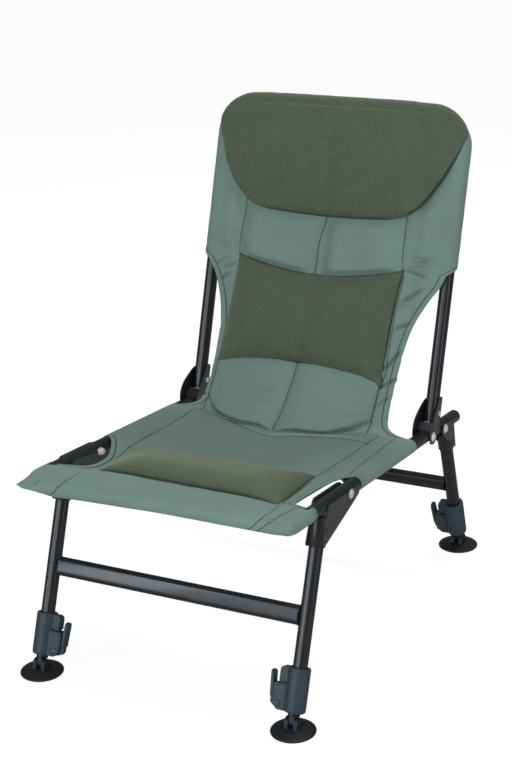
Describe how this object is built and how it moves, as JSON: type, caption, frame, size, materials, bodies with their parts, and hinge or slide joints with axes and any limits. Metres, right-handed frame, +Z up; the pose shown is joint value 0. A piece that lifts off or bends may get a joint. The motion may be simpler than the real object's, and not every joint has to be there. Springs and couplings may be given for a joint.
{
  "type": "carp fishing chair",
  "caption": "Folding low fishing chair: a padded sling cover on a tube frame, with a backrest that folds down and telescopic legs on swivelling mud feet.",
  "frame": {"origin": "on the floor, under the middle of the chair's bounding box", "axes": "+Z up, +X to the chair's right as seen from in front, -Y the way the sitter faces"},
  "size_m": [0.5746, 0.8566, 0.8877],
  "materials": {
    "black_steel": "semi-gloss black powder coat",
    "grey_steel": "satin dark grey coat on pressed plate",
    "zinc": "bright zinc plate",
    "blue_grey_plastic": "moulded, satin",
    "black_plastic": "moulded, satin",
    "sage_polyester": "satin woven polyester, padded",
    "olive_fleece": "short-pile fleece"
  },
  "bodies": {
    "seat_frame": {"seat_rail_left": "black_steel", "seat_rail_right": "black_steel", "seat_front_tube": "black_steel", "rail_cap_left": "black_plastic", "rail_cap_right": "black_plastic", "hinge_bolt_left": "zinc", "hinge_bolt_right": "zinc", "hinge_stop_left": "black_plastic", "hinge_stop_right": "black_plastic", "seat_cover": "sage_polyester", "seat_pad": "olive_fleece", "lower_back_sling": "sage_polyester", "lumbar_pad": "olive_fleece"},
    "backrest": {"back_tube_left": "black_steel", "back_tube_right": "black_steel", "back_tube_plug_left": "black_plastic", "back_tube_plug_right": "black_plastic", "back_top_tube": "black_steel", "hinge_plate_left": "grey_steel", "hinge_plate_right": "grey_steel", "hinge_arm_left": "black_steel", "hinge_arm_right": "black_steel", "hinge_rivet_left": "zinc", "hinge_rivet_right": "zinc", "back_cover": "sage_polyester", "head_pad": "olive_fleece"},
    "front_legs": {"front_leg_left": "black_steel", "front_leg_right": "black_steel", "front_bracket_left": "grey_steel", "front_bracket_right": "grey_steel", "front_pivot_bolt_left": "zinc", "front_pivot_bolt_right": "zinc", "front_clamp_left": "blue_grey_plastic", "front_clamp_right": "blue_grey_plastic", "front_crossbar": "black_steel"},
    "front_lever_left": {"front_lever_left": "blue_grey_plastic"},
    "front_inner_leg_left": {"front_inner_leg_left": "black_steel", "front_knuckle_left": "black_plastic"},
    "front_foot_left": {"front_foot_left": "black_plastic"},
    "front_lever_right": {"front_lever_right": "blue_grey_plastic"},
    "front_inner_leg_right": {"front_inner_leg_right": "black_steel", "front_knuckle_right": "black_plastic"},
    "front_foot_right": {"front_foot_right": "black_plastic"},
    "rear_legs": {"rear_leg_left": "black_steel", "rear_leg_right": "black_steel", "rear_bracket_left": "grey_steel", "rear_bracket_right": "grey_steel", "rear_pivot_bolt_left": "zinc", "rear_pivot_bolt_right": "zinc", "rear_clamp_left": "blue_grey_plastic", "rear_clamp_right": "blue_grey_plastic", "rear_crossbar": "black_steel"},
    "rear_lever_left": {"rear_lever_left": "blue_grey_plastic"},
    "rear_inner_leg_left": {"rear_inner_leg_left": "black_steel", "rear_knuckle_left": "black_plastic"},
    "rear_foot_left": {"rear_foot_left": "black_plastic"},
    "rear_lever_right": {"rear_lever_right": "blue_grey_plastic"},
    "rear_inner_leg_right": {"rear_inner_leg_right": "black_steel", "rear_knuckle_right": "black_plastic"},
    "rear_foot_right": {"rear_foot_right": "black_plastic"}
  },
  "joints": [
    {"name": "backrest_fold", "type": "hinge", "parent": "seat_frame", "child": "backrest", "pos_m": [0, 0.20097, 0.30622], "axis": [1, 0, 0], "range_deg": [0, 85], "deforming": ["lower_back_sling", "lumbar_pad"]},
    {"name": "front_legs_fold", "type": "hinge", "parent": "seat_frame", "child": "front_legs", "pos_m": [0, -0.17496, 0.34574], "axis": [1, 0, 0], "range_deg": [0, 90]},
    {"name": "front_lever_left_turn", "type": "hinge", "parent": "front_legs", "child": "front_lever_left", "pos_m": [-0.215, -0.3799, 0.0441], "axis": [0, 0.9323, -0.3616], "range_deg": [0, 100]},
    {"name": "front_inner_leg_left_slide", "type": "slide", "parent": "front_legs", "child": "front_inner_leg_left", "axis": [0, 0.3616, 0.9323], "range_m": [-0.11, 0]},
    {"name": "front_foot_left_tilt", "type": "hinge", "parent": "front_inner_leg_left", "child": "front_foot_left", "pos_m": [-0.249, -0.39003, 0.018], "axis": [1, 0, 0], "range_deg": [-25, 25]},
    {"name": "front_lever_right_turn", "type": "hinge", "parent": "front_legs", "child": "front_lever_right", "pos_m": [0.215, -0.3799, 0.0441], "axis": [0, -0.9323, 0.3616], "range_deg": [0, 100]},
    {"name": "front_inner_leg_right_slide", "type": "slide", "parent": "front_legs", "child": "front_inner_leg_right", "axis": [0, 0.3616, 0.9323], "range_m": [-0.11, 0]},
    {"name": "front_foot_right_tilt", "type": "hinge", "parent": "front_inner_leg_right", "child": "front_foot_right", "pos_m": [0.249, -0.39003, 0.018], "axis": [1, 0, 0], "range_deg": [-25, 25]},
    {"name": "rear_legs_fold", "type": "hinge", "parent": "seat_frame", "child": "rear_legs", "pos_m": [0, 0.26422, 0.29958], "axis": [-1, 0, 0], "range_deg": [0, 106]},
    {"name": "rear_lever_left_turn", "type": "hinge", "parent": "rear_legs", "child": "rear_lever_left", "pos_m": [-0.215, 0.36935, 0.0448], "axis": [0, 0.9573, 0.289], "range_deg": [0, 100]},
    {"name": "rear_inner_leg_left_slide", "type": "slide", "parent": "rear_legs", "child": "rear_inner_leg_left", "axis": [0, -0.289, 0.9573], "range_m": [-0.11, 0]},
    {"name": "rear_foot_left_tilt", "type": "hinge", "parent": "rear_inner_leg_left", "child": "rear_foot_left", "pos_m": [-0.249, 0.37744, 0.018], "axis": [1, 0, 0], "range_deg": [-25, 25]},
    {"name": "rear_lever_right_turn", "type": "hinge", "parent": "rear_legs", "child": "rear_lever_right", "pos_m": [0.215, 0.36935, 0.0448], "axis": [0, -0.9573, -0.289], "range_deg": [0, 100]},
    {"name": "rear_inner_leg_right_slide", "type": "slide", "parent": "rear_legs", "child": "rear_inner_leg_right", "axis": [0, -0.289, 0.9573], "range_m": [-0.11, 0]},
    {"name": "rear_foot_right_tilt", "type": "hinge", "parent": "rear_inner_leg_right", "child": "rear_foot_right", "pos_m": [0.249, 0.37744, 0.018], "axis": [1, 0, 0], "range_deg": [-25, 25]}
  ]
}
